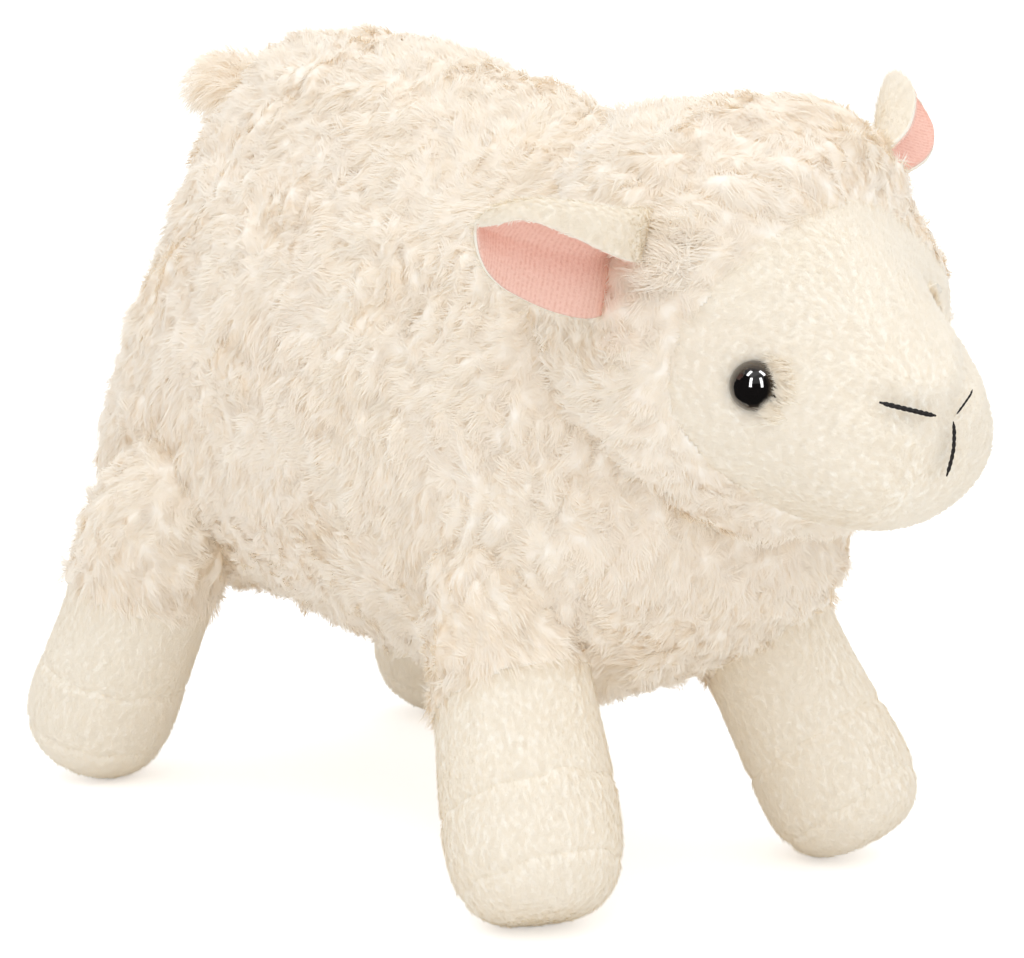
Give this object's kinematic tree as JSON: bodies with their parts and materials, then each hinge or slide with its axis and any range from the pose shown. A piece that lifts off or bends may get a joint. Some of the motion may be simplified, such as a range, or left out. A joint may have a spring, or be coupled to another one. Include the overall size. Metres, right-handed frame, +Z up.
{
  "type": "plush sheep",
  "caption": "Stuffed standing sheep with long-pile fleece body and hood, smooth plush face and legs, soft hinged ears and tail.",
  "frame": {"origin": "middle of the outline box, on the floor under the feet", "axes": "+Z up, the face looks along -Y, the toy's right side is towards -X"},
  "size_m": [0.1616, 0.2944, 0.2087],
  "materials": {
    "fleece": "long-pile cream fleece",
    "plush": "short ivory plush",
    "knit": "pink fine-rib knit",
    "fibre": "loose polyester fibre",
    "eye_black": "polished black",
    "washer_white": "moulded white",
    "thread_black": "black embroidery thread"
  },
  "bodies": {
    "body": {"body_skin": "fleece", "hood": "fleece", "front_right_sleeve": "fleece", "front_left_sleeve": "fleece", "rear_right_sleeve": "fleece", "rear_left_sleeve": "fleece", "face": "plush", "front_right_stocking": "plush", "front_right_toe_cap": "plush", "front_right_sole": "plush", "front_left_stocking": "plush", "front_left_toe_cap": "plush", "front_left_sole": "plush", "rear_right_stocking": "plush", "rear_right_toe_cap": "plush", "rear_right_sole": "plush", "rear_left_stocking": "plush", "rear_left_toe_cap": "plush", "rear_left_sole": "plush", "body_stuffing": "fibre", "head_stuffing": "fibre", "front_right_stuffing": "fibre", "front_left_stuffing": "fibre", "rear_right_stuffing": "fibre", "rear_left_stuffing": "fibre", "eye_right": "eye_black", "eye_left": "eye_black", "washer_right": "washer_white", "washer_left": "washer_white", "mouth_right": "thread_black", "mouth_left": "thread_black", "philtrum": "thread_black"},
    "ear_right": {"ear_right_back": "plush", "ear_right_lining": "knit"},
    "ear_left": {"ear_left_back": "plush", "ear_left_lining": "knit"},
    "tail": {"tail": "fleece"}
  },
  "joints": [
    {"name": "ear_right_bend", "type": "hinge", "parent": "body", "child": "ear_right", "pos_m": [-0.04043, -0.09691, 0.16443], "axis": [0.0564, -0.5376, 0.8413], "range_deg": [-30, 35], "stiffness_Nm_per_rad": 0.02},
    {"name": "ear_left_bend", "type": "hinge", "parent": "body", "child": "ear_left", "pos_m": [0.0459, -0.087, 0.17973], "axis": [0.2762, 0.2902, -0.9162], "range_deg": [-8, 35], "stiffness_Nm_per_rad": 0.02},
    {"name": "tail_bend", "type": "hinge", "parent": "body", "child": "tail", "pos_m": [-0.00032, 0.11292, 0.19059], "axis": [-1, 0, 0], "range_deg": [-25, 12], "stiffness_Nm_per_rad": 0.02}
  ]
}
